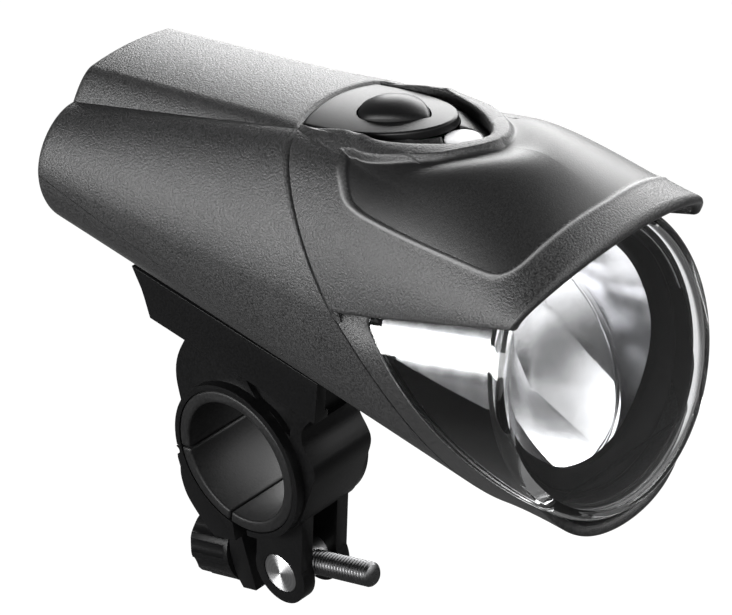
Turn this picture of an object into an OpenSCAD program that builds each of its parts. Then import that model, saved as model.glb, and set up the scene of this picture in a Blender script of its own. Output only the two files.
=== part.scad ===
// Handlebar bike headlight: slide-off lamp on a hinged bar clamp.
// Frame: bar axis along X through the origin, -Y is the beam direction, +Z is up. Millimetres.

/* [Lamp housing] */
// distance of the lamp datum behind the bar axis
lamp_back = 3.2; // [0:0.1:6]
// distance of the lamp datum below the bar axis
lamp_drop = 1.6; // [0:0.1:4]
// half width of the housing at its rear edge
rear_half_w = 24.4; // [20:0.1:28]
// height of the spine above the lamp datum at the rear edge
rear_top_z = 83.5; // [76:0.1:90]
// underside of the housing above the lamp datum at the rear edge
rear_low_z = 49.0; // [44:0.1:54]
// half width of the flat top of the spine
spine_half_w = 9.4; // [7:0.1:12]
// half width of the housing where the head begins
head_half_w = 25.7; // [22:0.1:29]
// top of the housing where the head begins
head_top_z = 76.0; // [72:0.1:80]
// underside of the housing where the head begins
head_low_z = 3.5; // [0:0.1:12]
// wall thickness of the housing shells
wall = 2.0; // [1.4:0.1:3]

/* [Lens and visor] */
// outer radius of the clear lens
lens_r = 27.4; // [24:0.1:31]
// height of the lens centre above the lamp datum
lens_z = 30.8; // [26:0.1:36]
// distance of the lens rim in front of the lamp datum
lens_front = 96.8; // [90:0.1:100]
// distance of the visor lip in front of the lamp datum
visor_front = 108; // [102:0.5:114]
// height of the visor lip at its middle
visor_lip_z = 57.6; // [54:0.1:64]
// thickness of the visor
visor_wall = 2.5; // [1.8:0.1:3.2]

/* [Slide shoe] */
// nose-down slope of the slide shoe
shoe_angle = 23; // [15:0.5:30]
// half width of the shoe over its side rails
shoe_half_w = 12; // [11:0.1:14]
// length of the side rails
shoe_len = 44.4; // [36:0.1:52]

/* [Bar clamp] */
// handlebar radius the liner closes on
bar_r = 12.7; // [11:0.05:16]
// half width of the clamp along the bar
clamp_half_w = 10; // [8:0.1:12]
// radial thickness of the soft bar liner
liner_t = 2.5; // [1.5:0.1:3]
// radius of the threaded screw rod
rod_r = 2.5; // [2:0.1:3]
// radius of the fluted knob
knob_r = 7.2; // [5:0.1:8]

/* [Battery] */
// radius of one round cell
cell_r = 7.0; // [5:0.05:7.3]
// length of one round cell
cell_len = 49.5; // [40:0.1:50.5]

/* [Hidden] */
$fn = 64;
black = [0.06,0.06,0.065];

// ---- section curves of the housing: rear edge A and head edge D ----
function mix(a,b,t) = a + (b-a)*t;
function qs(a,n) = pow(sin(a*90),2/n);
function qc(a,n) = pow(max(0,cos(a*90)),2/n);
// [top z, crown, flat half w, edge x, edge z, foot x, foot z, half w, widest z, upper power, low z, lower power, plane y, plane z, plane slope, plan bulge]
A = [rear_top_z,0.8,spine_half_w,spine_half_w+2.5,rear_top_z-1.2,spine_half_w+5.2,rear_top_z-6.2,rear_half_w,66.3,1.85,rear_low_z,2.1,13,66,-0.33,0];
D = [head_top_z,0.9,9.2,10.6,head_top_z-1.2,11.4,head_top_z-1.7,head_half_w,46,1.62,head_low_z,2.4,-46.3,74.4,0.51,1.2];
function inset(S,w) = [S[0]-w,S[1],S[2]-0.5*w,S[3]-w,S[4]-w,S[5]-w,S[6]-w,S[7]-w,S[8],S[9],S[10]+w,S[11],S[12],S[13],S[14],S[15]];
function prof(S,u) =
  u <= 0.2 ? [S[2]*u/0.2, S[0]-S[1]*pow(u/0.2,2)] :
  u <= 0.3 ? let(a=(u-0.2)/0.1) [pow(1-a,2)*S[2]+2*a*(1-a)*S[3]+a*a*S[5], pow(1-a,2)*(S[0]-S[1])+2*a*(1-a)*S[4]+a*a*S[6]] :
  u <= 0.6 ? let(a=(u-0.3)/0.3) [S[5]+(S[7]-S[5])*qs(a,S[9]), S[8]+(S[6]-S[8])*qc(a,S[9])] :
  let(a=(u-0.6)/0.4) [S[7]*qc(a,S[11]), S[8]-(S[8]-S[10])*qs(a,S[11])];
function sec(S,u,m) = let(q=prof(S,u)) [m*q[0], S[12]+S[14]*(q[1]-S[13])+S[15]*max(0,1-pow(q[0]/11,2)), q[1]];
function body_pt(t,u,m,w) = mix(sec(inset(A,w),u,m),sec(inset(D,w),u,m),t);
function seam(t) = 0.6+0.2*t;

// ---- closed solid between two point grids ----
module skin(P,Q) {
  ni=len(P); nj=len(P[0]); N=ni*nj;
  pts=concat([for(r=P) each r],[for(r=Q) each r]);
  tri=concat(
    [for(i=[0:ni-2]) for(j=[0:nj-2]) each [[i*nj+j,i*nj+j+1,(i+1)*nj+j+1],[i*nj+j,(i+1)*nj+j+1,(i+1)*nj+j]]],
    [for(i=[0:ni-2]) for(j=[0:nj-2]) each [[N+i*nj+j,N+(i+1)*nj+j+1,N+i*nj+j+1],[N+i*nj+j,N+(i+1)*nj+j,N+(i+1)*nj+j+1]]],
    [for(j=[0:nj-2]) each [[j,N+j,N+j+1],[j,N+j+1,j+1]]],
    [for(j=[0:nj-2]) let(k=(ni-1)*nj+j) each [[k,N+k+1,N+k],[k,k+1,N+k+1]]],
    [for(i=[0:ni-2]) let(k=i*nj,l=k+nj) each [[k,N+l,N+k],[k,l,N+l]]],
    [for(i=[0:ni-2]) let(k=i*nj+nj-1,l=k+nj) each [[k,N+k,N+l],[k,N+l,l]]]);
  polyhedron(pts,tri,convexity=8);
}
module lamp() { translate([0,lamp_back,-lamp_drop]) children(); }
module rail() { rotate([shoe_angle,0,0]) children(); }
module side(w) { rotate([90,0,90]) translate([0,0,-w]) linear_extrude(2*w) children(); }
module beam() { translate([0,0,lens_z]) rotate([90,0,0]) children(); }
cap_tilt = atan(0.33);
module cap_frame() { translate([0,13,66]) rotate([cap_tilt,0,0]) children(); }

// ---- lamp housing ----
up_u = [0,0.07,0.14,0.2,0.22,0.24,0.26,0.28,0.3,0.33,0.36,0.4,0.44,0.48,0.52,0.56,0.6];
function upper_cols(t) = concat(up_u,[0.6+(seam(t)-0.6)*0.5, seam(t)]);
function upper_row(t,w) = let(c=upper_cols(t)) concat([for(i=[len(c)-1:-1:1]) body_pt(t,c[i],-1,w)],[for(u=c) body_pt(t,u,1,w)]);
module rear_housing() color(black) lamp() {
  ts=[0,0.14,0.28,0.42,0.56,0.7,0.85,0.985];
  skin([for(t=ts) upper_row(t,0)],[for(t=ts) upper_row(t,wall)]);
}
function lower_row(t,w,n=10) = let(s=seam(t)+0.002) concat([for(i=[0:n]) body_pt(t,s+(1-s)*i/n,1,w)],[for(i=[n-1:-1:0]) body_pt(t,s+(1-s)*i/n,-1,w)]);
module housing_base() color(black) lamp() {
  ts=[0,0.15,0.3,0.45,0.6,0.75,0.9,0.985];
  skin([for(t=ts) lower_row(t,0)],[for(t=ts) lower_row(t,wall)]);
}
module end_cap() color(black) lamp() cap_frame() difference() {
  rotate([90,0,0]) translate([0,0,0.8]) linear_extrude(2.4) polygon(concat(
    [for(u=[0:0.05:1]) let(q=prof(inset(A,wall+0.5),u)) [q[0],(q[1]-66)/cos(cap_tilt)]],
    [for(u=[0.95:-0.05:0.05]) let(q=prof(inset(A,wall+0.5),u)) [-q[0],(q[1]-66)/cos(cap_tilt)]]));
  translate([0,1,-3]) rotate([90,0,0]) cylinder(r=6.05,h=6);
  for(m=[-1,1]) translate([m*18,1,0]) rotate([90,0,0]) cylinder(r=1.6,h=6);
}
module end_cap_screws() color([0.55,0.55,0.57]) lamp() cap_frame() for(m=[-1,1]) translate([m*18,0,0]) rotate([90,0,0]) difference() {
  union() { translate([0,0,-1.2]) cylinder(r=2.8,h=1.9); cylinder(r=1.5,h=9); }
  translate([0,0,-2]) cylinder(r=1.2,h=1.8,$fn=6);
}
// head edge E of the ring, on the lens circle and on a leaning plane
vis_u = 0.585;
vis_a = 53.8;
function ring_ang(u) = u < vis_u ? vis_a*u/vis_u : vis_a+(180-vis_a)*(u-vis_u)/(1-vis_u);
function lens_plane(z) = -65.6+0.845*(z-45.8);
function edge_pt(u,m,w) = let(a=ring_ang(u), k=max(0,-cos(a)-0.62)/0.38, r=lens_r+3.4*k*k*(3-2*k)-w, z=lens_z+r*cos(a), zr=lens_z+lens_r*cos(a))
  [m*r*sin(a), max(3.1-lens_front,min(-66,lens_plane(zr)+0.85)), z];
function ring_in(u) = u < 0.56 ? 3.3 : u < 0.6 ? 3.3*(0.6-u)/0.04 : 0;
function ring_pt(t,u,m,w) = mix(sec(inset(D,w+ring_in(u)),u,m), edge_pt(u,m,w+ring_in(u)), t);
ring_u = [0.47,0.5,0.53,0.555,0.585,0.6,0.63,0.66,0.7,0.74,0.78,0.82,0.86,0.89,0.92,0.95,0.975,1];
function ring_row(t,w) = concat([for(u=ring_u) ring_pt(t,u,1,w)],[for(i=[len(ring_u)-2:-1:0]) ring_pt(t,ring_u[i],-1,w)]);
module head_ring() color(black) lamp() {
  ts=[0.015,0.2,0.4,0.6,0.8,1];
  skin([for(t=ts) ring_row(t,0)],[for(t=ts) ring_row(t,1.9)]);
}

// ---- visor: head edge, crown and lip joined by one smooth curve ----
crown = [25.6,74.2,48.1,-84,-82,1.7];
lip = [25.2,visor_lip_z,48.8,-visor_front,6.6-visor_front,1.9];
function arch(S,v,m,w) = [m*(S[0]-w)*qs(v,S[5]), S[4]+(S[3]-S[4])*qc(v,S[5]), S[2]+(S[1]-w-S[2])*qc(v,S[5])];
notch_w = 12.0;
notch_y = -65;
notch_l = 16.8;
function notch_f(p) = pow(abs(p[0])/notch_w,1.5)+pow(max(0,notch_y-p[1])/notch_l,1.5);
function vis_raw(t,v,w) = let(m=v<0?-1:1, a=abs(v), l0=(t-0.6)*(t-1)/0.6, l1=t*(t-1)/-0.24, l2=t*(t-0.6)/0.4)
  l0*sec(inset(D,w),a*(vis_u-0.004),m)+l1*arch(crown,a,m,w)+l2*arch(lip,a,m,w);
// the surface dips towards the front of the notch and beside its rear end
function vis_pt(t,v,w) = let(p=vis_raw(t,v,w),f=max(1,notch_f(p)))
  p-[0,0,2.0*exp(-pow((f-1)/0.5,2))*min(1,max(0,(-66-p[1])/9))+0.7*max(0,1-pow((t-0.12)/0.13,2))*max(0,1-pow((abs(v)-0.46)/0.25,2))];
function in_notch(p) = notch_f(p) < 1;
function cut(v,a,b,k) = k == 0 ? b : let(c=(a+b)/2) in_notch(vis_pt(c,v,0)) ? cut(v,c,b,k-1) : cut(v,a,c,k-1);
function notch(v) = in_notch(vis_pt(0.02,v,0)) ? cut(v,0.02,0.7,12) : 0.02;
vis_v = [0,0.06,0.12,0.18,0.23,0.28,0.31,0.335,0.36,0.385,0.41,0.45,0.5,0.56,0.62,0.68,0.74,0.8,0.86,0.93,1];
vis_cols = concat([for(i=[len(vis_v)-1:-1:1]) -vis_v[i]],vis_v);
module visor() color(black) lamp() {
  n=9;
  skin([for(i=[0:n]) [for(v=vis_cols) let(s=notch(abs(v))) vis_pt(s+(1-s)*i/n,v,0)]],
       [for(i=[0:n]) [for(v=vis_cols) let(s=notch(abs(v))) vis_pt(s+(1-s)*i/n,v,visor_wall)]]);
}

// ---- switch panel in the notch ----
pan_tilt = 5.5;
module pan_frame() { translate([0,-60,74.2]) rotate([pan_tilt,0,0]) children(); }
pan_w = 9.6;
pan_y = 13.6;
pan_l = 26.4;
// half width of the leaf-shaped panel along its length
function leaf_w(y) = pan_w*sqrt(max(0,1-pow((pan_y-y)/pan_l,2.4)));
module leaf(g=0) { polygon(concat([for(i=[0:24]) let(y=pan_y+g-(pan_l+2*g)*sin(90*i/24)) [leaf_w(y)+g,y]],[for(i=[24:-1:0]) let(y=pan_y+g-(pan_l+2*g)*sin(90*i/24)) [-leaf_w(y)-g,y]])); }
module crown_tube(r0,r1) { translate([0,0,-46]) rotate([90,0,0]) translate([0,0,-40]) difference() { cylinder(r=r1,h=80,$fn=128); translate([0,0,-1]) cylinder(r=r0,h=82,$fn=128); } }
module drop(g=0) { union() { translate([0,2.5]) circle(r=5+g); intersection() { translate([8.5,2.5]) circle(r=13.5+g); translate([-8.5,2.5]) circle(r=13.5+g); translate([-8,-20]) square([16,22.5]); } } }
module switch_panel() color([0.09,0.09,0.095]) lamp() pan_frame() intersection() {
  crown_tube(44.2,46);
  translate([0,0,-8]) linear_extrude(20) difference() { leaf(); drop(0.25); }
}
module power_button() color([0.1,0.1,0.105]) lamp() pan_frame() {
  intersection() { translate([0,0,-2.2]) linear_extrude(8) drop(); translate([0,0.5,-5.0]) rotate([90,0,0]) rotate_extrude($fn=96) intersection() { translate([-6.2,0]) circle(r=13.6,$fn=96); translate([0,-20]) square([30,40]); } }
  translate([0,2,-4.4]) cylinder(r=1.6,h=2.4);
}
// floor of the notch: crowned beside the panel, falling away in front of it
function floor_z(x,y) = sqrt(46*46-x*x)-46.3-0.36*max(0,-8-y)-3.6*pow(abs(x)/11,2.2)*min(1,max(0,(2-y)/12));
function bay_w(y) = y > notch_y+60 ? notch_w-1.5 : (notch_w-1.5)*pow(max(0,1-pow((notch_y+60-y)/(notch_l-1.2),1.5)),1/1.5);
// edge of the leaf and of the notch seen from the panel's centre
function reach(a,w,lo,hi,k) = k == 0 ? lo : let(c=(lo+hi)/2,x=c*sin(a),y=c*cos(a)) (abs(x) < (w == 0 ? leaf_w(y) : bay_w(y)) && y < pan_y && y > -24.5) ? reach(a,w,c,hi,k-1) : reach(a,w,lo,c,k-1);
function floor_pt(a,k,d) = let(r0=reach(a,0,0,30,14)+0.35,r1=max(r0+0.1,reach(a,1,0,30,14)-0.1),r=mix(r0,r1,k),x=r*sin(a),y=r*cos(a)) [x,y,floor_z(x,y)-d];
module notch_floor() color(black) lamp() pan_frame() difference() {
  as=[for(i=[40:-1:0]) 42+276*i/40];
  skin([for(k=[0:0.25:1]) [for(a=as) floor_pt(a,k,0)]],[for(k=[0:0.25:1]) [for(a=as) floor_pt(a,k,1.2)]]);
  translate([0,-15.4,-9]) cylinder(r=3.6,h=12);
}
module indicator_window() color([0.8,0.85,0.9,0.7]) lamp() pan_frame() translate([0,-15.4,0]) union() {
  translate([0,0,-3.9]) cylinder(r=3.5,h=1.1);
  translate([0,0,-2.8]) intersection() { translate([0,0,-8.3]) sphere(r=9,$fn=64); cylinder(r=3.5,h=2); }
}
module control_board() color([0.05,0.25,0.1]) lamp() pan_frame() {
  translate([-9,-18,-9.6]) cube([18,34,1.6]);
  translate([-7,6,-11.6]) cube([8,7,2]);
  translate([2,-12,-12.6]) cube([6,8,3]);
}
module tact_switch() color([0.12,0.12,0.13]) lamp() pan_frame() {
  translate([-3,-1,-8]) cube([6,6,2.4]);
  translate([0,2,-5.6]) cylinder(r=1.5,h=0.1);
}
module indicator_led() color([0.9,0.95,1]) lamp() pan_frame() {
  translate([-1.6,-17.6,-8]) cube([3.2,3.2,1.6]);
  translate([0,-16,-6.4]) cylinder(r=1.2,h=1.9);
}

// ---- optics ----
module lens_cut() { side(45) polygon([[2.2-lens_front,-20],[2.2-lens_front,45.8+(2.2-lens_front+65.6)/0.845],[-40,45.8+25.6/0.845],[-40,-20]]); }
module front_lens() color([0.85,0.9,0.95,0.35]) lamp() difference() {
  beam() rotate_extrude($fn=128) polygon([[lens_r,66.5],[lens_r,lens_front-1.6],[lens_r-0.4,lens_front],[lens_r-1.3,lens_front+1.2],[lens_r-2.6,lens_front+1.9],[14,lens_front+2.9],[0,lens_front+3.3],
    [0,lens_front+1.4],[14,lens_front+1],[lens_r-2.6,lens_front-0.1],[lens_r-1.8,lens_front-1.6],[lens_r-1.8,66.5]]);
  lens_cut();
}
module lens_seal() color([0.15,0.15,0.15]) lamp() beam() rotate_extrude($fn=96) translate([24.95,sleeve_d+0.45]) circle(r=0.4,$fn=24);
// dividing plane between the bright and the dark part of the sleeve
module low_part() { side(45) polygon([[-110,-20],[-110,lens_z-2.4],[-50,lens_z+14.4],[-50,-20]]); }
sleeve_d = lens_front-3.6;
module sleeve(r) { beam() rotate_extrude($fn=96) polygon([[r,68],[25.0,68],[25.0,sleeve_d],[r,sleeve_d]]); }
module trim_ring() color(black) lamp() union() {
  beam() rotate_extrude($fn=96) polygon([[20.9,88],[23.2,88],[23.2,sleeve_d-1.9],[22.9,sleeve_d-1.6],[22.4,sleeve_d-1.7],[20.9,sleeve_d-3.4]]);
  intersection() { union() { difference() { sleeve(24.2); lens_cut(); } beam() translate([0,0,88]) difference() { cylinder(r=24.6,h=2,$fn=96); translate([0,0,-1]) cylinder(r=22.7,h=4,$fn=96); } } low_part(); }
}
// scoop of a paraboloid whose axis runs through the light source, cut by the round of the bezel
scoop_d = 62.5;
scoop_z = 16;
scoop_q = 60.5;
function scoop_at(r) = scoop_d+r*r/scoop_q;
module scoop_half(o) { translate([0,scoop_z,0]) rotate_extrude($fn=96) polygon(concat([for(i=[0:14]) let(r=39*i/14) [r,scoop_at(r)-o]],[[39,40],[0,40]])); }
module carrier_slot(g) { translate([-6.2-g,-90,lens_z+13.5-g]) cube([12.4+2*g,21+g,20]); }
module reflector() color([0.9,0.9,0.92]) lamp() difference() {
  union() {
    beam() intersection() { translate([0,0,60]) cylinder(r=21.9,h=27.8,$fn=96); difference() { scoop_half(0); scoop_half(1.3); } }
    beam() difference() { translate([0,0,66.8]) cylinder(r=22.6,h=21,$fn=96); translate([0,0,60]) cylinder(r=21.5,h=30,$fn=96); scoop_half(1.3); }
    beam() translate([0,0,86.8]) difference() { cylinder(r=24.05,h=1,$fn=96); translate([0,0,-1]) cylinder(r=21.6,h=3,$fn=96); }
    difference() { sleeve(23.95); lens_cut(); low_part(); }
  }
  carrier_slot(0.3);
  translate([-4.3,-72,lens_z+16.7]) cube([8.6,20,4.6]);
}
module led_carrier() color([0.1,0.1,0.1]) lamp() difference() {
  union() {
    translate([-6,-84,lens_z+15]) cube([12,14,7.5]);
    translate([-4,-70.2,lens_z+17]) cube([8,13.1,4]);
  }
  translate([-4.1,-82,lens_z+14]) cube([8.2,9,2.4]);
}
module led_board() color([0.85,0.85,0.8]) lamp() translate([-4,-81.9,lens_z+15.2]) cube([8,8.8,1.1]);
module led_emitter() color([0.95,0.9,0.4]) lamp() union() { translate([-1.75,-79.2,lens_z+14.5]) cube([3.5,3.5,0.7]); translate([0,-77.45,lens_z+14.5]) intersection() { sphere(r=1.5,$fn=32); translate([-2,-2,-2]) cube([4,4,2]); } }
module heat_sink() color([0.7,0.71,0.73]) lamp() difference() {
  translate([0,-57.0,lens_z+13]) rotate([-90,0,0]) union() {
    cylinder(r=5,h=11);
    for(i=[0:3]) translate([0,0,i*2.8]) cylinder(r=11,h=1.3);
  }
  translate([-20,-60,lens_z+23]) cube([40,40,10]);
}

// ---- battery ----
cell_x = cell_r+0.5;
cell_n = [49.55,63.6];
cell_s = -19;
module cell_places() { for(m=[-1,1]) for(n=cell_n) rail() translate([m*cell_x,cell_s,n]) rotate([-90,0,0]) children(); }
module battery_cells() color([0.2,0.35,0.6]) lamp() cell_places() union() { cylinder(r=cell_r,h=cell_len-1); translate([0,0,cell_len-1.01]) cylinder(r=2.7,h=1.01); }
module battery_cradle() color([0.13,0.13,0.14]) lamp() difference() {
  union() {
    rail() {
      translate([-14.2,cell_s-3.4,cell_n[0]-6.6]) cube([28.4,1.8,25.6]);
      translate([-13.4,cell_s+cell_len+1.2,cell_n[0]-6.2]) cube([26.8,1.8,22.8]);
      translate([-16,cell_s-3.4,cell_n[0]+2.9]) cube([32,1.8,9]);
      translate([-20.5,cell_s+cell_len+1.2,cell_n[0]+2.9]) cube([41,1.8,9]);
      for(m=[-1,1]) translate([m*15.2-0.8,cell_s-3.4,cell_n[0]+2.9]) cube([1.6,cell_len+6.4,9]);
      translate([-0.4,cell_s-3.4,cell_n[0]-5]) cube([0.8,cell_len+6.4,24]);
    }
    cap_frame() for(m=[-1,1]) translate([m*18,-3.6,0]) rotate([90,0,0]) cylinder(r=2.9,h=6.4);
  }
  cap_frame() for(m=[-1,1]) translate([m*18,0,0]) rotate([90,0,0]) cylinder(r=1.55,h=20);
  cap_frame() translate([0,1,-3]) rotate([90,0,0]) cylinder(r=6.4,h=6);
}
module contact_springs() color([0.75,0.72,0.6]) lamp() rail() for(m=[-1,1]) for(n=cell_n) translate([m*cell_x,cell_s-0.05,n]) rotate([90,0,0]) difference() { cylinder(r1=2.6,r2=3.6,h=1.2); translate([0,0,-0.1]) cylinder(r=1.4,h=1.6); }
module contact_plates() color([0.75,0.72,0.6]) lamp() rail() for(m=[-1,1]) {
  translate([m*cell_x-4,cell_s-1.58,cell_n[0]-3]) cube([8,0.3,20.5]);
  translate([m*cell_x-4,cell_s+cell_len+0.05,cell_n[0]-3]) cube([8,0.3,20.5]);
}
module charge_socket() color([0.1,0.1,0.1]) lamp() cap_frame() translate([0,-1,-3]) rotate([90,0,0]) difference() { cylinder(r=6,h=3); translate([0,0,-0.1]) cylinder(r=3.2,h=2.6); }
module charge_cover() color([0.12,0.12,0.12]) lamp() cap_frame() translate([0,0,-3]) rotate([90,0,0]) union() { translate([0,0,-0.7]) cylinder(r=7.2,h=1.4); translate([0,0,0.6]) cylinder(r=3.12,h=2.4); }

// ---- slide shoe ----
shoe_s0 = -23.4;
shoe_n0 = 26.2;
shoe_n1 = 35.7;
module slide_shoe() color(black) lamp() rail() difference() {
  union() {
    rotate([90,0,90]) translate([0,0,-shoe_half_w]) linear_extrude(2*shoe_half_w) polygon([[shoe_s0,shoe_n0],[shoe_s0+shoe_len-1,shoe_n0],[shoe_s0+shoe_len+0.6,shoe_n0+3.6],[shoe_s0+shoe_len+1.6,shoe_n0+5.6],[shoe_s0+shoe_len+4.4,shoe_n1],[shoe_s0,shoe_n1]]);
  }
  // channel for the tongue, narrower between the lips
  translate([-9.4,shoe_s0-1,28.1]) cube([18.8,39.1,4.7]);
  translate([-8.5,shoe_s0-1,shoe_n0-1]) cube([17,39.1,6]);
  for(s=[-14,4]) translate([0,s,32]) { cylinder(r=1.6,h=6); cylinder(r=2.9,h=2.2); }
}
module shoe_screws() color([0.55,0.55,0.57]) lamp() rail() for(s=[-14,4]) translate([0,s,32.9]) difference() { union() { cylinder(r=2.7,h=1.2); cylinder(r=1.5,h=6); } translate([0,0,-0.1]) cylinder(r=1.1,h=1,$fn=6); }

// ---- bar clamp ----
ring_r = bar_r+liner_t+0.1;
nut_y = -0.1;
nut_z = -26.2;
hinge_y = 17.1;
hinge_z = 0.2;
arm_half_w = 7.9;
// smooth outline through a row of points
function cr(P,i,t) = let(a=P[max(0,i-1)],b=P[i],c=P[i+1],d=P[min(len(P)-1,i+2)]) 0.5*(2*b+(c-a)*t+(2*a-5*b+4*c-d)*t*t+(3*b-a-3*c+d)*t*t*t);
function curve(P,n=4) = concat([for(i=[0:len(P)-2]) for(k=[0:n-1]) cr(P,i,k/n)],[P[len(P)-1]]);
module sector(a0,a1,r) { polygon(concat([[0,0]],[for(i=[0:12]) let(a=mix(a0,a1,i/12)) r*[cos(a),sin(a)]])); }
module upper_liner() color([0.16,0.16,0.165]) side(clamp_half_w) difference() { intersection() { circle(r=bar_r+liner_t,$fn=128); sector(5.5,294.4,60); } circle(r=bar_r,$fn=128); }
module lower_liner() color([0.2,0.2,0.205]) side(clamp_half_w) difference() { intersection() { circle(r=bar_r+liner_t,$fn=128); sector(4.5,-64.4,60); } circle(r=bar_r,$fn=128); }
module clamp_body() color(black) difference() {
  union() {
    side(clamp_half_w) intersection() { circle(r=16.5,$fn=128); sector(5.3,278,60); }
    side(arm_half_w) polygon(concat(curve([[-7.6,-14.9],[-11.4,-12.6],[-15.4,-7.4],[-19.0,-2.4],[-20,0.2],[-19.6,2.4],[-18.8,4.6],[-18.7,6.6],[-20,9.2],[-23.6,11.7],[-28,13.3]]),curve([[5.8,26.5],[11.2,20.8],[13.6,15.8],[14.2,9.6],[14.7,5]]),[[10,8],[0,14],[-12,8],[-14,-4]]));
    lamp() rail() translate([-9.1,-21.8,28.4]) cube([18.2,36,4.1]);
    lamp() rail() translate([-8.2,-21.8,24.6]) cube([16.4,34,4.2]);
    for(m=[-1,1]) translate([m*4.95,0,0]) side(1.55) union() { translate([nut_y,nut_z]) circle(r=6.6); polygon([[-11.2,-12.3],[-6.6,-25],[6.3,-25.2],[3.2,-16.6],[0,-15.6],[-6,-14.2]]); }
    for(m=[-1,1]) translate([m*3.6,0,0]) side(1.7) { translate([hinge_y,hinge_z]) circle(r=1.75); polygon([[hinge_y-1.2,hinge_z+0.8],[hinge_y+1.7,hinge_z+0.4],[16.6,7],[14,7]]); }
  }
  side(30) circle(r=ring_r,$fn=128);
  translate([0,nut_y,nut_z]) rotate([0,90,0]) cylinder(r=4.25,h=40,center=true);
  translate([0,hinge_y,hinge_z]) rotate([0,90,0]) cylinder(r=0.85,h=40,center=true);
  for(m=[-1,1]) translate([m*10,0,0]) side(3.4) polygon(concat(curve([[-6.5,20.5],[-8.4,14.4],[-12.4,11.1],[-14.7,7.6]]),curve([[-15.6,7],[-17.3,11],[-18.8,14.6]])));
  translate([-1.8,hinge_y-1.8,hinge_z-3]) cube([3.6,8,5.2]);
}
module clamp_jaw() color(black) difference() {
  union() {
    side(clamp_half_w) difference() { polygon(concat(curve([[17.2,-3.2],[17.9,-6],[17.6,-10],[15.4,-14.4],[12.6,-18.2]]),[[6.4,-18.2],[5.2,-10],[14,-3]])); circle(r=ring_r,$fn=128); }
    for(m=[-1,1]) translate([m*(5.8+clamp_half_w)/2,0,0]) side((clamp_half_w-5.8)/2) difference() { polygon([[14.6,-3.6],[17.3,-3.6],[17.3,-1.6],[16.7,1.2],[14.6,1.2]]); circle(r=ring_r,$fn=128); }
    side(1.6) difference() { union() { translate([hinge_y,hinge_z]) circle(r=1.75); polygon([[hinge_y-1.7,hinge_z-0.4],[hinge_y+1.7,hinge_z],[17.6,-4.4],[15.6,-4.4]]); } circle(r=ring_r,$fn=128); }
    intersection() { translate([0,nut_y,nut_z]) rotate([0,90,0]) cylinder(r=14.2,h=40,center=true,$fn=128); side(6.2) polygon([[9.1,-16.2],[9.1,-32],[15.8,-32],[16.2,-14]]); }
  }
  translate([0,hinge_y,hinge_z]) rotate([0,90,0]) cylinder(r=0.9,h=40,center=true);
  translate([-2.8,0,-44]) cube([5.6,30,20.1]);
  translate([0,0,-23.9]) rotate([-90,0,0]) cylinder(r=2.8,h=30);
}
module jaw_hinge_pin() color([0.6,0.6,0.62]) translate([0,hinge_y,hinge_z]) rotate([0,90,0]) cylinder(r=0.85,h=10.4,center=true);
module barrel_nut() color([0.75,0.75,0.77]) translate([0,nut_y,nut_z]) difference() { rotate([0,90,0]) cylinder(r=4.2,h=13,center=true); rotate([90,0,0]) cylinder(r=rod_r+0.05,h=20,center=true); }
module screw_rod() color([0.12,0.12,0.125]) translate([0,-19.9,nut_z]) rotate([-90,0,0]) union() {
  cylinder(r1=rod_r-0.5,r2=rod_r-0.05,h=0.8);
  translate([0,0,0.8]) cylinder(r=rod_r-0.3,h=43.6);
  for(i=[0:19]) translate([0,0,1.2+i*0.8]) { cylinder(r1=rod_r-0.3,r2=rod_r,h=0.3); translate([0,0,0.3]) cylinder(r1=rod_r,r2=rod_r-0.3,h=0.3); }
}
module screw_knob() color(black) translate([0,14.3,nut_z]) rotate([-90,0,0]) difference() {
  union() { cylinder(r=knob_r,h=11); translate([0,0,11]) cylinder(r1=knob_r,r2=knob_r-1,h=1); }
  for(i=[0:10]) rotate([0,0,i*360/11]) translate([knob_r+0.8,0,1.2]) cylinder(r=1.7,h=14,$fn=24);
  translate([0,0,-1]) cylinder(r=rod_r-0.28,h=20);
}

rear_housing();
housing_base();
end_cap();
head_ring();
visor();
front_lens();
lens_seal();
trim_ring();
reflector();
led_carrier();
led_board();
led_emitter();
heat_sink();
control_board();
tact_switch();
switch_panel();
power_button();
notch_floor();
indicator_window();
indicator_led();
battery_cradle();
battery_cells();
contact_springs();
contact_plates();
charge_socket();
charge_cover();
end_cap_screws();
slide_shoe();
shoe_screws();
clamp_body();
clamp_jaw();
jaw_hinge_pin();
upper_liner();
lower_liner();
barrel_nut();
screw_rod();
screw_knob();
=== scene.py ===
import math

import bmesh
import bpy
import numpy as np
from mathutils import Matrix, Vector


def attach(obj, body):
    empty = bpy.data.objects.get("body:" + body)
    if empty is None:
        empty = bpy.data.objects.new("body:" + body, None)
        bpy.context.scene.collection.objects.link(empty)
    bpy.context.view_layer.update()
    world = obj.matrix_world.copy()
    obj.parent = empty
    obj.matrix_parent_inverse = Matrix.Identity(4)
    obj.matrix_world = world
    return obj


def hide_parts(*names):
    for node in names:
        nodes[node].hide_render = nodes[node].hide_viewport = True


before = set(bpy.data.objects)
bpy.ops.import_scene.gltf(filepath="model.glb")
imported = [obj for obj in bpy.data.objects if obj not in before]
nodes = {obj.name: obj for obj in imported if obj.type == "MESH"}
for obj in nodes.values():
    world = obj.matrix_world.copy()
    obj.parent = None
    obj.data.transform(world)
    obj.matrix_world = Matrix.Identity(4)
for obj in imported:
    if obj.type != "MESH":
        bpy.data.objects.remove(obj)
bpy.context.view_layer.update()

sc = bpy.context.scene
OFF = np.array([0.0, 3.2, -1.6])          # lamp datum in the row frame, mm


def met(P, lamp=True):
    """mm to metres; lamp pieces are drawn about the lamp datum."""
    P = np.asarray(P, float)
    return (P + OFF) / 1000.0 if lamp else P / 1000.0


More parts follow.
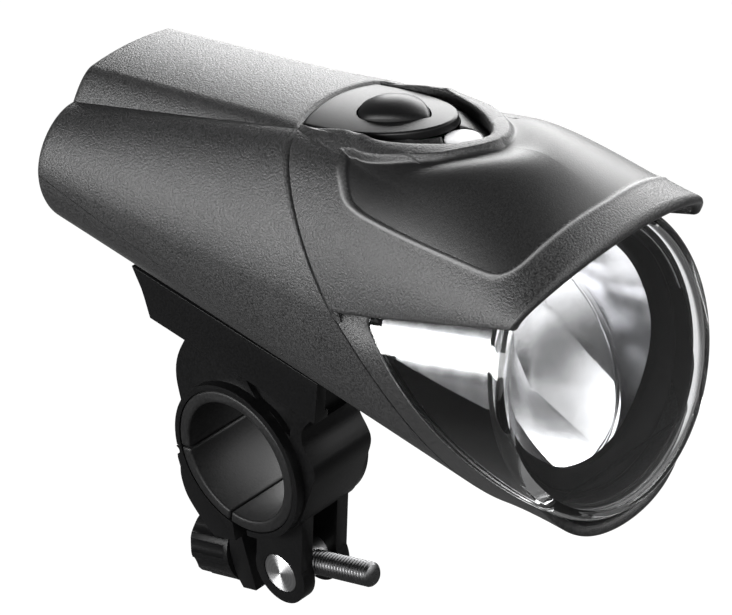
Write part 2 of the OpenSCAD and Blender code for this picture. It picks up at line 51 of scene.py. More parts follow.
# ------------------------------------------------------------------ camera
cam_d = bpy.data.cameras.new("camera")
cam_d.sensor_width = 36.0
cam_d.lens = 3000.0 / 732.0 * 36.0
cam_d.clip_start, cam_d.clip_end = 0.01, 20.0
cam = bpy.data.objects.new("camera", cam_d)
sc.collection.objects.link(cam)
r_ = Vector((0.6752, -0.7028, -0.2238)).normalized()
b_ = Vector((-0.6137, -0.7036, 0.3582)).normalized()
u_ = b_.cross(r_).normalized()
r_ = u_.cross(b_).normalized()
M = Matrix((r_, u_, b_)).transposed().to_4x4()
M.translation = Vector((-0.3350, -0.4207, 0.2282))
cam.matrix_world = M
sc.camera = cam
sc.view_settings.view_transform = "Standard"
sc.view_settings.look = "None"


# ------------------------------------------------------------------ materials
def new_mat(name):
    m = bpy.data.materials.new(name)
    m.use_nodes = True
    nt = m.node_tree
    bs = nt.nodes["Principled BSDF"]
    return m, nt, bs


def setin(bs, **kw):
    for k, v in kw.items():
        bs.inputs[k.replace("_", " ")].default_value = v


def coords(nt, loc=(0, 0, 0), scale=(1, 1, 1)):
    tc = nt.nodes.new("ShaderNodeTexCoord")
    mp = nt.nodes.new("ShaderNodeMapping")
    mp.inputs["Location"].default_value = loc
    mp.inputs["Scale"].default_value = scale
    nt.links.new(tc.outputs["Object"], mp.inputs["Vector"])
    return mp.outputs["Vector"]


def noise(nt, vec, scale, detail=2.0, rough=0.5):
    n = nt.nodes.new("ShaderNodeTexNoise")
    n.inputs["Scale"].default_value = scale
    n.inputs["Detail"].default_value = detail
    n.inputs["Roughness"].default_value = rough
    nt.links.new(vec, n.inputs["Vector"])
    return n.outputs["Fac"]


def remap(nt, fac, lo, hi, a=0.0, b=1.0):
    n = nt.nodes.new("ShaderNodeMapRange")
    n.inputs["From Min"].default_value, n.inputs["From Max"].default_value = a, b
    n.inputs["To Min"].default_value, n.inputs["To Max"].default_value = lo, hi
    nt.links.new(fac, n.inputs["Value"])
    return n.outputs["Result"]


def ramp(nt, fac, stops):
    n = nt.nodes.new("ShaderNodeValToRGB")
    el = n.color_ramp.elements
    while len(el) < len(stops):
        el.new(0.5)
    for e, (p, c) in zip(el, stops):
        e.position, e.color = p, (*c, 1)
    nt.links.new(fac, n.inputs["Fac"])
    return n.outputs["Color"]


def bump(nt, bs, height, strength, dist, normal=None):
    n = nt.nodes.new("ShaderNodeBump")
    n.inputs["Strength"].default_value = strength
    n.inputs["Distance"].default_value = dist
    nt.links.new(height, n.inputs["Height"])
    if normal is not None:
        nt.links.new(normal, n.inputs["Normal"])
    nt.links.new(n.outputs["Normal"], bs.inputs["Normal"])
    return n.outputs["Normal"]


def plastic(name, dark, light, rough=(0.4, 0.52), grain=2300.0, strength=0.35, dist=0.00012, spec=0.5, blotch=40.0, painted_highlight=None):
    """Moulded plastic: spark-eroded grain in bump, colour speckle and roughness."""
    m, nt, bs = new_mat(name)
    v = coords(nt)
    g = noise(nt, v, grain, 3.0, 0.6)
    c = noise(nt, v, blotch, 3.0, 0.55)
    mixn = nt.nodes.new("ShaderNodeMath")
    mixn.operation = "MULTIPLY_ADD"
    nt.links.new(c, mixn.inputs[0])
    mixn.inputs[1].default_value = 0.25
    nt.links.new(remap(nt, g, 0.0, 0.8, 0.32, 0.68), mixn.inputs[2])
    base = ramp(nt, mixn.outputs[0], [(0.15, dark), (0.85, light)])
    if painted_highlight:                                             # painted highlight line along an edge, from a point attribute of the mesh
        at = nt.nodes.new("ShaderNodeAttribute")
        at.attribute_name = painted_highlight
        mx = nt.nodes.new("ShaderNodeMix")
        mx.data_type = "RGBA"
        nt.links.new(at.outputs["Fac"], mx.inputs[0])
        nt.links.new(base, mx.inputs[6])
        # flat light grey mixed in where the attribute is set: a painted highlight along the edge, not the plastic's
        # own colour
        mx.inputs[7].default_value = (0.2, 0.2, 0.2, 1)
        base = mx.outputs[2]
    nt.links.new(base, bs.inputs["Base Color"])
    nt.links.new(remap(nt, g, rough[0], rough[1], 0.3, 0.7), bs.inputs["Roughness"])
    setin(bs, Specular_IOR_Level=spec)
    bump(nt, bs, g, strength, dist)
    return m


def metal(name, col, rough=(0.2, 0.35), scale=(1, 1, 1), grain=900.0, strength=0.1, aniso=0.0):
    m, nt, bs = new_mat(name)
    v = coords(nt, scale=scale)
    g = noise(nt, v, grain, 3.0, 0.6)
    a = tuple(x * 0.86 for x in col)
    nt.links.new(ramp(nt, g, [(0.25, a), (0.75, col)]), bs.inputs["Base Color"])
    nt.links.new(remap(nt, g, rough[0], rough[1], 0.3, 0.7), bs.inputs["Roughness"])
    setin(bs, Metallic=1.0)
    bump(nt, bs, g, strength, 0.00004)
    return m


M_VISOR = plastic("visor_grain_painted_highlight", (0.001, 0.001, 0.0011), (0.03, 0.03, 0.0304), (0.36, 0.5), 2700.0, 0.85, 0.00017, 0.5, painted_highlight="painted_edge_highlight")
M_SHELL = plastic("shell_grain", (0.001, 0.001, 0.0011), (0.03, 0.03, 0.0304), (0.36, 0.5), 2700.0, 0.85, 0.00017, 0.5)
M_PANEL = plastic("visor_panel_fine", (0.003, 0.003, 0.0031), (0.009, 0.009, 0.0092), (0.42, 0.5), 3300.0, 0.3, 0.0001, 0.5)
M_SATIN = plastic("satin_plastic", (0.003, 0.003, 0.0031), (0.006, 0.006, 0.0062), (0.36, 0.42), 3000.0, 0.1, 0.00006, 0.16)
M_BRKT = plastic("bracket_plastic", (0.002, 0.002, 0.0021), (0.005, 0.005, 0.0052), (0.34, 0.42), 2600.0, 0.14, 0.00008, 0.12)
M_TRIM = plastic("dull_trim", (0.001, 0.001, 0.001), (0.003, 0.003, 0.003), (0.4, 0.48), 1500.0, 0.06, 0.00005, 0.02)
M_LINER = plastic("liner_grey", (0.003, 0.003, 0.0031), (0.008, 0.008, 0.0082), (0.42, 0.55), 1900.0, 0.25, 0.0001, 0.25)
M_RUBBER = plastic("seal_rubber", (0.006, 0.006, 0.006), (0.012, 0.012, 0.012), (0.6, 0.75), 1600.0, 0.2, 0.0001, 0.25)
M_ROD = metal("blackened_steel", (0.12, 0.12, 0.122), (0.24, 0.36), grain=1500.0)
M_STEEL = metal("plated_steel", (0.62, 0.62, 0.64), (0.22, 0.34))
M_ALU = metal("plain_aluminium", (0.72, 0.73, 0.75), (0.3, 0.42))
M_BRASS = metal("plated_brass", (0.78, 0.7, 0.46), (0.25, 0.36))
M_PCB = plastic("board_green", (0.012, 0.09, 0.03), (0.03, 0.16, 0.06), (0.3, 0.42), 900.0, 0.15, 0.0001)
M_CELL = plastic("cell_sleeve", (0.04, 0.12, 0.3), (0.06, 0.18, 0.4), (0.22, 0.32), 700.0, 0.08, 0.0001)
M_LEDW = plastic("led_white", (0.62, 0.62, 0.6), (0.75, 0.75, 0.73), (0.3, 0.4), 1200.0, 0.1, 0.00005)
M_LEDY = plastic("led_phosphor", (0.7, 0.68, 0.5), (0.85, 0.83, 0.62), (0.4, 0.5), 2200.0, 0.2, 0.00005)


def chrome_mat():
    m, nt, bs = new_mat("metallised")
    v = coords(nt)
    g = noise(nt, v, 260.0, 2.0, 0.5)
    nt.links.new(ramp(nt, g, [(0.3, (0.86, 0.86, 0.875)), (0.7, (0.95, 0.95, 0.96))]), bs.inputs["Base Color"])
    nt.links.new(remap(nt, g, 0.16, 0.2, 0.3, 0.7), bs.inputs["Roughness"])
    setin(bs, Metallic=1.0)
    bump(nt, bs, g, 0.05, 0.0002)
    return m


def glass_mat(name, tint, rough, ior=1.49, wav=0.03):
    m, nt, bs = new_mat(name)
    v = coords(nt)
    g = noise(nt, v, 120.0, 2.0, 0.5)
    nt.links.new(ramp(nt, g, [(0.3, tuple(x * 0.985 for x in tint)), (0.7, tint)]), bs.inputs["Base Color"])
    nt.links.new(remap(nt, g, rough, rough + 0.015, 0.3, 0.7), bs.inputs["Roughness"])
    setin(bs, Transmission_Weight=1.0, IOR=ior)
    bump(nt, bs, g, wav, 0.0003)
    return m


def spun_mat():
    m, nt, bs = new_mat("spun_steel")
    v = coords(nt)
    w = nt.nodes.new("ShaderNodeTexWave")
    w.wave_type, w.rings_direction = "RINGS", "X"
    w.inputs["Scale"].default_value = 420.0
    w.inputs["Distortion"].default_value = 0.4
    w.inputs["Detail"].default_value = 2.0
    nt.links.new(v, w.inputs["Vector"])
    g = noise(nt, v, 900.0, 2.0, 0.5)
    nt.links.new(ramp(nt, w.outputs["Fac"], [(0.2, (0.50, 0.50, 0.505)), (0.8, (0.58, 0.58, 0.585))]), bs.inputs["Base Color"])
    nt.links.new(remap(nt, g, 0.46, 0.5, 0.3, 0.7), bs.inputs["Roughness"])
    setin(bs, Metallic=1.0, Anisotropic=0.92, Anisotropic_Rotation=0.25)
    tan = nt.nodes.new("ShaderNodeTangent")
    tan.direction_type, tan.axis = "RADIAL", "X"
    nt.links.new(tan.outputs["Tangent"], bs.inputs["Tangent"])
    bump(nt, bs, w.outputs["Fac"], 0.03, 0.00003)
    return m


M_CHROME = chrome_mat()
M_GLASS = glass_mat("clear_lens", (0.99, 0.995, 1.0), 0.0)
M_WIN = plastic("frosted_window", (0.72, 0.72, 0.73), (0.86, 0.86, 0.87), (0.1, 0.16), 700.0, 0.1, 0.00008)
M_SPUN = spun_mat()


# ------------------------------------------------------------------ mesh helpers
def make(name, V, F, body, mat, node=None, smooth=True, lamp=True, sharp=None):
    me = bpy.data.meshes.new(name)
    me.from_pydata([tuple(p) for p in met(V, lamp)], [], [tuple(int(i) for i in f) for f in F])
    me.update()
    bm = bmesh.new()
    bm.from_mesh(me)
    bmesh.ops.recalc_face_normals(bm, faces=bm.faces)
    bm.to_mesh(me)
    bm.free()
    o = bpy.data.objects.new(name, me)
    sc.collection.objects.link(o)
    if smooth:
        me.polygons.foreach_set("use_smooth", [True] * len(me.polygons))
        if sharp is not None:
            me.set_sharp_from_angle(angle=math.radians(sharp))
    me.materials.append(mat)
    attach(o, body)
    if node:
        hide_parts(*([node] if isinstance(node, str) else node))
    return o


def shell_mesh(P, Q, wrap=False, bulge=(0.5, 0.5, 0.5, 0.5), K=5):
    """Closed shell between an outer grid P and an inner grid Q, with rounded rims.
    bulge: how far the rim stands out, for the first row, last row, first column, last column."""
    ni, nj = P.shape[:2]
    V = [P.reshape(-1, 3), Q.reshape(-1, 3)]
    N = ni * nj
    F = []
    jn = nj if wrap else nj - 1
    for i in range(ni - 1):
        for j in range(jn):
            k = (j + 1) % nj
            a, b, c, d = i * nj + j, i * nj + k, (i + 1) * nj + k, (i + 1) * nj + j
            F.append((a, b, c, d))
            F.append((N + a, N + d, N + c, N + b))

    def unit(v):
        return v / np.maximum(np.linalg.norm(v, axis=-1, keepdims=True), 1e-9)

    # boundary loops as (grid index, outward direction)
    top = [(0, j) for j in range(nj)]
    bot = [(ni - 1, j) for j in range(nj)]
    o_top = unit(P[0] - P[1]) * bulge[0]
    o_bot = unit(P[-1] - P[-2]) * bulge[1]
    loops = []
    if wrap:
        loops.append((top, o_top, True))
        loops.append((bot, o_bot, True))
    else:
        lef = [(i, 0) for i in range(ni)]
        rig = [(i, nj - 1) for i in range(ni)]
        o_lef = unit(P[:, 0] - P[:, 1]) * bulge[2]
        o_rig = unit(P[:, -1] - P[:, -2]) * bulge[3]
        loop = top[:-1] + rig[:-1] + bot[:0:-1] + lef[:0:-1]
        d = {}
        for idx, o in ((top, o_top), (rig, o_rig), (bot, o_bot), (lef, o_lef)):
            for k, v in zip(idx, o):
                d[k] = d.get(k, 0) + v
        loops.append((loop, np.array([d[k] for k in loop]), True))
    base = 2 * N
    for loop, out, closed in loops:
        n = len(loop)
        idx = np.array([i * nj + j for i, j in loop])
        p, q = P.reshape(-1, 3)[idx], Q.reshape(-1, 3)[idx]
        c, h = (p + q) / 2, (p - q) / 2
        hl = np.linalg.norm(h, axis=1, keepdims=True)
        rows = [idx]
        for k in range(1, K):
            th = math.pi * k / K
            V.append(c + h * math.cos(th) + out * hl * math.sin(th))
            rows.append(base + np.arange(n))
            base += n
        rows.append(N + idx)
        for a, b in zip(rows[:-1], rows[1:]):
            for j in range(n):
                k = (j + 1) % n
                F.append((a[j], a[k], b[k], b[j]))
    return np.concatenate(V), F


def revolve(profile, n=192, closed=True):
    """Revolved closed profile of (r, d) points about the beam axis, d forward of the lamp datum."""
    pr = np.asarray(profile, float)
    a = np.linspace(0, 2 * np.pi, n, endpoint=False)
    V = np.stack([pr[:, None, 0] * np.sin(a), -np.repeat(pr[:, None, 1], n, 1), LZ + pr[:, None, 0] * np.cos(a)], -1)
    m = len(pr)
    F = []
    for i in range(m if closed else m - 1):
        i2 = (i + 1) % m
        for j in range(n):
            k = (j + 1) % n
            F.append((i * n + j, i * n + k, i2 * n + k, i2 * n + j))
    return V.reshape(-1, 3), F


def rounded(name, node, body, mat, width, segs=3, angle=32.0, smooth=40.0, flat=1.5):
    """A detailed copy of an exact node: flat faces merged, edges rounded."""
    src = nodes[node]
    bm = bmesh.new()
    bm.from_mesh(src.data)
    bmesh.ops.remove_doubles(bm, verts=bm.verts, dist=2e-6)
    bmesh.ops.dissolve_limit(bm, angle_limit=math.radians(flat), verts=bm.verts, edges=bm.edges)
    bmesh.ops.recalc_face_normals(bm, faces=bm.faces)
    me = bpy.data.meshes.new(name)
    bm.to_mesh(me)
    bm.free()
    o = bpy.data.objects.new(name, me)
    sc.collection.objects.link(o)
    if width:
        bv = o.modifiers.new("edges", "BEVEL")
        bv.width, bv.segments, bv.limit_method = width, segs, "ANGLE"
        bv.angle_limit = math.radians(angle)
        bv.use_clamp_overlap = True
        bv.harden_normals = False
        bpy.context.view_layer.update()
        dg = bpy.context.evaluated_depsgraph_get()
        done = bpy.data.meshes.new_from_object(o.evaluated_get(dg))
        o.modifiers.clear()
        o.data = done
        me = done
    me.polygons.foreach_set("use_smooth", [True] * len(me.polygons))
    me.set_sharp_from_angle(angle=math.radians(smooth))
    me.materials.clear()
    me.materials.append(mat)
    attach(o, body)
    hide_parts(node)
    return o


# ------------------------------------------------------------------ the lamp's curves (mm, lamp datum)
def qs(a, n):
    return np.sin(np.radians(90 * a)) ** (2 / n)


def qc(a, n):
    return np.maximum(0, np.cos(np.radians(90 * a))) ** (2 / n)


RT, RL, RW, SP = 83.5, 49.0, 24.4, 9.4
HT, HL, HW = 76.0, 3.5, 25.7
LR, LZ, LF = 27.4, 30.8, 96.8
SA = [RT, .8, SP, SP + 2.5, RT - 1.2, SP + 5.2, RT - 6.2, RW, 66.3, 1.85, RL, 2.1, 13, 66, -.33, 0]
SD = [HT, .9, 9.2, 10.6, HT - 1.2, 11.4, HT - 1.7, HW, 46, 1.62, HL, 2.4, -46.3, 74.4, .51, 1.2]


def inset(S, w):
    return [S[0] - w, S[1], S[2] - .5 * w, S[3] - w, S[4] - w, S[5] - w, S[6] - w, S[7] - w, S[8], S[9], S[10] + w, *S[11:]]


def prof(S, u):
    u = np.asarray(u, float)
    a = u / .2
    x0, z0 = S[2] * a, S[0] - S[1] * a ** 2
    a = np.clip((u - .2) / .1, 0, 1)
    x1 = (1 - a) ** 2 * S[2] + 2 * a * (1 - a) * S[3] + a * a * S[5]
    z1 = (1 - a) ** 2 * (S[0] - S[1]) + 2 * a * (1 - a) * S[4] + a * a * S[6]
    a = np.clip((u - .3) / .3, 0, 1)
    x2, z2 = S[5] + (S[7] - S[5]) * qs(a, S[9]), S[8] + (S[6] - S[8]) * qc(a, S[9])
    a = np.clip((u - .6) / .4, 0, 1)
    x3, z3 = S[7] * qc(a, S[11]), S[8] - (S[8] - S[10]) * qs(a, S[11])
    x = np.where(u <= .2, x0, np.where(u <= .3, x1, np.where(u <= .6, x2, x3)))
    z = np.where(u <= .2, z0, np.where(u <= .3, z1, np.where(u <= .6, z2, z3)))
    return x, z


def sec(S, u, m):
    x, z = prof(S, u)
    y = S[12] + S[14] * (z - S[13]) + S[15] * np.maximum(0, 1 - (x / 11) ** 2)
    return np.stack([m * x, y, z], -1)


def body_pt(t, u, m, w):
    t = np.asarray(t, float)[..., None]
    return (1 - t) * sec(inset(SA, w), u, m) + t * sec(inset(SD, w), u, m)


VU, VA = .585, 53.8
CROWN = [25.6, 74.2, 48.1, -84, -82, 1.7]
LIP = [25.2, 57.6, 48.8, -108, -101.4, 1.9]
NW, NY, NL = 10.2, -63.0, 17.5


def arch(S, v, m, w):
    return np.stack([m * (S[0] - w) * qs(v, S[5]), S[4] + (S[3] - S[4]) * qc(v, S[5]), S[2] + (S[1] - w - S[2]) * qc(v, S[5])], -1)


def notch_f(p):
    return (np.abs(p[..., 0]) / NW) ** 1.5 + (np.maximum(0, NY - p[..., 1]) / NL) ** 1.5


def vis_raw(t, v, w):
    t, v = np.asarray(t, float), np.asarray(v, float)
    m, a = np.where(v < 0, -1., 1.), np.abs(v)
    l0, l1, l2 = ((t - .6) * (t - 1) / .6)[..., None], (t * (t - 1) / -.24)[..., None], (t * (t - .6) / .4)[..., None]
    return l0 * sec(inset(SD, w), a * (VU - .004), m) + l1 * arch(CROWN, a, m, w) + l2 * arch(LIP, a, m, w)


def step(x, a, b):
    k = np.clip((x - a) / (b - a), 0, 1)
    return k * k * (3 - 2 * k)


def rim_mm(p):
    """Plan distance outward from the notch wall."""
    fx = 1.5 * np.sqrt(np.abs(p[..., 0])) / NW ** 1.5
    fy = 1.5 * np.sqrt(np.maximum(0, NY - p[..., 1])) / NL ** 1.5
    return (notch_f(p) - 1) / np.maximum(np.hypot(fx, fy), .03)


def vis_pt(t, v, w):
    p = vis_raw(t, v, w)
    f = np.maximum(1, notch_f(p))
    y = p[..., 1]
    dz = 4.0 * np.exp(-((f - 1) / .95) ** 2) * np.clip((-62 - y) / 15, 0, 1) ** .8
    # shoulder beside the pad, and the fin in front of it that starts bluntly next to the button
    r = rim_mm(p)
    dz = dz + .5 * (1 - step(r, 2.5, 6.5)) * step(t, 0, .08) * (1 - step(-y, 56, 74)) * (np.abs(v) < .75)
    p = p.copy()
    p[..., 2] -= dz
    return p


def ring_ang(u):
    return np.where(u < VU, VA * u / VU, VA + (180 - VA) * (u - VU) / (1 - VU))


def lens_plane(z):
    return -65.6 + .845 * (z - 45.8)


def edge_pt(u, m, w):
    a = np.radians(ring_ang(u))
    k = np.maximum(0, -np.cos(a) - .62) / .38
    r = LR + 3.4 * k * k * (3 - 2 * k) - w
    z, zr = LZ + r * np.cos(a), LZ + LR * np.cos(a)
    return np.stack([m * r * np.sin(a), np.maximum(2.7 - LF, np.minimum(-66, lens_plane(zr) + .4)), z], -1)


def ring_in(u):
    return np.where(u < .56, 3.3, np.where(u < .59, 3.3 * (.59 - u) / .03, 0))


def ring_pt(t, u, m, w):
    out = []
    for uu in np.atleast_1d(u):
        i = float(ring_in(np.array(uu)))
        a, b = sec(inset(SD, w + i), np.array(uu), m), edge_pt(np.array(uu), m, w + i)
        out.append(np.asarray(t)[:, None] * b + (1 - np.asarray(t)[:, None]) * a)
    return np.stack(out, 1)


# ------------------------------------------------------------------ housing shells
def side_cols(u):
    return np.concatenate([-u[:0:-1], u])


tt = np.linspace(0, .992, 56)
seam = .6 + .2 * tt
u0 = np.concatenate([np.linspace(0, .2, 12)[:-1], np.linspace(.2, .3, 22)[:-1], np.linspace(.3, .6, 46)])


def upper_grid(w):
    rows = []
    for t, s in zip(tt, seam):
        u = np.concatenate([u0, np.linspace(.6, s, 14)[1:]])
        c = side_cols(u)
        rows.append(body_pt(np.full(len(c), t), np.abs(c), np.where(c < 0, -1., 1.), w))
    return np.array(rows)


V, F = shell_mesh(upper_grid(0), upper_grid(2.0), bulge=(.7, .25, .1, .1))
make("housing_upper", V, F, "lamp", M_SHELL, "rear_housing", sharp=50)


def lower_grid(w):
    rows = []
    for t, s in zip(tt, seam + .002):
        u = s + (1 - s) * np.linspace(0, 1, 60)
        rows.append(np.concatenate([body_pt(np.full(60, t), u, 1., w), body_pt(np.full(59, t), u[-2::-1], -1., w)]))
    return np.array(rows)


V, F = shell_mesh(lower_grid(0), lower_grid(2.0), bulge=(.7, .25, .1, .1))
make("housing_lower", V, F, "lamp", M_SHELL, "housing_base", sharp=50)

ru = np.concatenate([np.linspace(.47, .585, 16)[:-1], np.linspace(.585, 1, 90)])
rt = np.linspace(.015, 1, 30)


def ring_grid(w):
    a = ring_pt(rt, ru, 1., w)
    b = ring_pt(rt, ru[-2::-1], -1., w)
    return np.concatenate([a, b], 1)


V, F = shell_mesh(ring_grid(0), ring_grid(1.9), bulge=(.25, .45, .1, .1))
make("head_shell", V, F, "lamp", M_SHELL, "head_ring", sharp=50)

# ------------------------------------------------------------------ visor with recessed panel and a deep-walled notch
vv = np.concatenate([np.linspace(0, .24, 34)[:-1], np.linspace(.24, .53, 92)[:-1], np.linspace(.53, .62, 20)[:-1], np.linspace(.62, .70, 44)[:-1], np.linspace(.70, 1, 44)])
vc = side_cols(vv)


def notch_t(v):
    a, b = np.full(len(v), .009), np.full(len(v), .7)
    ins = notch_f(vis_raw(a, v, 0)) < 1
    for _ in range(24):
        c = (a + b) / 2
        i = notch_f(vis_raw(c, v, 0)) < 1
        a, b = np.where(i, c, a), np.where(i, b, c)
    return np.where(ins, b, .009), ins


def spread(q, n):
    for _ in range(n):
        q = np.concatenate([q[:1], (q[:-2] + 2 * q[1:-1] + q[2:]) / 4, q[-1:]])
    return q


ns, in_notch = notch_t(vc)
k = np.linspace(0, 1, 176)
k = .5 - .5 * np.cos(np.pi * k)
Tg = ns[None] + (1 - ns[None]) * k[:, None]
Vg = np.repeat(vc[None], len(k), 0)
OUT = vis_pt(Tg, Vg, 0)
INN = vis_pt(ns[None] + .05 + (.995 - ns[None] - .05) * k[:, None], Vg, 2.5)
raw = vis_raw(Tg, Vg, 0)
fx = 1.5 * np.sqrt(np.abs(raw[..., 0])) / NW ** 1.5
fy = 1.5 * np.sqrt(np.maximum(0, NY - raw[..., 1])) / NL ** 1.5
rim = (notch_f(raw) - 1) / np.maximum(np.hypot(fx, fy), .03)          # plan distance from the notch edge
# panel outline in the visor's own (t, |v|)
PO = np.array([(.19, .0), (.193, .40), (.193, .455), (.212, .562), (.238, .625), (.262, .662), (.30, .675), (.367, .677), (.527, .667), (.715, .652),
               (.805, .645), (.848, .632), (.877, .602), (.897, .55), (.91, .473), (.922, .318), (.932, .13), (.936, .0)])


def smooth_line(P, n):
    P = np.asarray(P, float)
    out = []
    for i in range(len(P) - 1):
        p0, p1, p2, p3 = P[max(i - 1, 0)], P[i], P[i + 1], P[min(i + 2, len(P) - 1)]
        for s in np.linspace(0, 1, n, endpoint=False):
            out.append(.5 * (2 * p1 + (p2 - p0) * s + (2 * p0 - 5 * p1 + 4 * p2 - p3) * s * s + (3 * p1 - p0 - 3 * p2 + p3) * s ** 3))
    out.append(P[-1])
    return np.array(out)


def inside_poly(px, py, poly):
    r = np.zeros(px.shape, bool)
    x, y = poly[:, 0], poly[:, 1]
    j = len(poly) - 1
    for i in range(len(poly)):
        c = ((y[i] > py) != (y[j] > py)) & (px < (x[j] - x[i]) * (py - y[i]) / (y[j] - y[i] + 1e-12) + x[i])
        r ^= c
        j = i
    return r


po = smooth_line(PO[1:], 10)
po = np.concatenate([PO[:1], po])
line = smooth_line(PO[2:], 40)
l3 = np.concatenate([vis_raw(line[:, 0], line[:, 1], 0), vis_raw(line[:, 0], -line[:, 1], 0)])
ins = inside_poly(Tg, np.abs(Vg), np.concatenate([po, [[.19, -.01]]]))
dist = np.full(Tg.shape, 1e9)
for q in range(0, len(l3), 60):
    dist = np.minimum(dist, np.linalg.norm(raw[:, :, None] - l3[q:q + 60][None, None], axis=-1).min(-1))
sd = np.minimum(np.where(ins, dist, -dist), rim - 2.9)
du = np.gradient(OUT, axis=0)
dv = np.gradient(OUT, axis=1)
nrm = np.cross(dv, du)
nrm /= np.maximum(np.linalg.norm(nrm, axis=-1, keepdims=True), 1e-9)
nrm *= np.sign(nrm[..., 2:3] + 1e-9)
near = np.exp(-(np.maximum(0, rim - 3) / 6.0) ** 2)
flank = np.clip((sd + .12) / (.5 + .5 * near), 0, 1)
OUT = OUT - nrm * ((.36 + .96 * near) * flank * flank * (3 - 2 * flank) - .13 * step(rim, 5, 8) * np.exp(-((sd + .45) / .4) ** 2))[..., None]
# rounded edge of the notch, then its wall down to the floor
edge_w = spread(in_notch.astype(float), 6)
low = .45 + .75 * step(-raw[..., 1], 57, 61)
q = np.clip(1 - rim / 2.3, 0, 1)
OUT[..., 2] -= low * (1 - np.sqrt(1 - q * q)) * edge_w[None]
gx, gy = fx[0] * np.sign(vc + 1e-9), -fy[0]
no_ = np.stack([np.where(in_notch, gx, 0), np.where(in_notch, gy, -1), 0 * gx], -1)
no_ /= np.maximum(np.linalg.norm(no_, axis=-1, keepdims=True), 1e-9)
no_ = np.stack([spread(no_[:, i], 4) for i in range(3)], -1)
no_ /= np.maximum(np.linalg.norm(no_, axis=-1, keepdims=True), 1e-9)
deep = 1.2 + 4.6 * edge_w
nw = 9
hs = np.linspace(1, .06, nw)[:, None] * deep[None]
wall_o = OUT[0][None] - hs[..., None] * np.array([0, 0, 1.])
wall_i = OUT[0][None] + no_[None] * 1.7 - (np.maximum(hs, .2) + .5 + 1.2 * edge_w[None] * (1 - hs / deep[None]))[..., None] * np.array([0, 0, 1.])
OUT, INN = np.concatenate([wall_o, OUT]), np.concatenate([wall_i, INN])
V, F = shell_mesh(OUT, INN, bulge=(.2, .8, .55, .55), K=7)
visor = make("visor_shell", V, F, "lamp", M_VISOR, "visor", sharp=60)
visor.data.materials.append(M_PANEL)
ni, nj = OUT.shape[:2]
pm = np.zeros((ni - 1, nj - 1), bool)
pm[nw:] = (sd[:-1, :-1] + sd[1:, :-1] + sd[:-1, 1:] + sd[1:, 1:]) / 4 > .5
mi = np.zeros(len(visor.data.polygons), np.int32)
mi[0:2 * (ni - 1) * (nj - 1):2] = pm.reshape(-1)
visor.data.polygons.foreach_set("material_index", mi)
# painted highlight: a thin light-grey line just outside the panel outline, away from the notch, standing in for the
# lit edge of the recess
painted_highlight = np.zeros(len(visor.data.vertices), np.float32)
gl = np.exp(-((sd + .22) / .3) ** 2) * step(rim, 4.5, 7.5)
painted_highlight[nw * nj:ni * nj] = gl.reshape(-1)
visor.data.attributes.new("painted_edge_highlight", "FLOAT", "POINT").data.foreach_set("value", painted_highlight)

# ------------------------------------------------------------------ switch pad, button, window
PT = math.radians(5.5)


def pan(P):
    P = np.asarray(P, float)
    x, y, z = P[..., 0], P[..., 1], P[..., 2]
    return np.stack([x, -60 + y * math.cos(PT) - z * math.sin(PT), 74.2 + y * math.sin(PT) + z * math.cos(PT)], -1)


def in_drop(x, y, g):
    return (x * x + (y - 2.5) ** 2 < (5 + g) ** 2) | ((y < 2.5) & ((x - 8.5) ** 2 + (y - 2.5) ** 2 < (13.5 + g) ** 2) & ((x + 8.5) ** 2 + (y - 2.5) ** 2 < (13.5 + g) ** 2))


def leaf_w(y):
    return 9.75 * np.sqrt(np.maximum(0, 1 - np.maximum(0, (13.6 - y) / 26.4) ** 2.4))


def in_leaf(x, y, g):
    return (np.abs(x) < leaf_w(y) - g) & (y < 14.2 + 1.5 * np.maximum(0, 1 - (x / 9.6) ** 2) - g) & (y > -12.8)


def bay_w(y):
    return np.where(y > NY + 60, NW - .1, (NW - .1) * np.maximum(0, 1 - (np.maximum(0, NY + 60 - y) / (NL - .1)) ** 1.5) ** (1 / 1.5))


def in_bay(x, y, g):
    return (np.abs(x) < bay_w(y) - g) & (y < 13.6) & (y > -22.5)


def radial(fn, g, a, soft, wrap=True):
    n = len(a)
    lo, hi = np.zeros(n), np.full(n, 30.)
    for _ in range(30):
        c = (lo + hi) / 2
        i = fn(c * np.sin(a), c * np.cos(a), g)
        lo, hi = np.where(i, c, lo), np.where(i, hi, c)
    r = lo
    for _ in range(soft):
        r = (np.roll(r, 1) + 2 * r + np.roll(r, -1)) / 4 if wrap else spread(r, 1)
    return r


NA = 288
a = np.linspace(0, 2 * np.pi, NA, endpoint=False)
ro, ri, rb = radial(in_leaf, 0, a, 3), radial(in_drop, .22, a, 5), radial(in_drop, 0, a, 5)


def pad_grid(dz):
    rows = []
    for q in np.linspace(0, 1, 26):
        r = ri + (ro - ri) * q
        x, y = r * np.sin(a), r * np.cos(a)
        z = np.sqrt(46.0 ** 2 - x * x) - 46.0 + dz - (.28 * max(0, (q - .93) / .07) ** 2 if dz == 0 else 0)
        rows.append(pan(np.stack([x, y, z], -1)))
    return np.array(rows)


V, F = shell_mesh(pad_grid(0), pad_grid(-1.6), wrap=True, bulge=(-.15, .05))
make("switch_pad", V, F, "lamp", M_SATIN, "switch_panel", sharp=60)


def cap_z(x, y):
    q = np.maximum(0, -6.2 + np.sqrt(np.maximum(0, 13.6 ** 2 - (y - .5) ** 2)))
    return -5.0 + np.sqrt(np.maximum(.01, q * q - x * x))


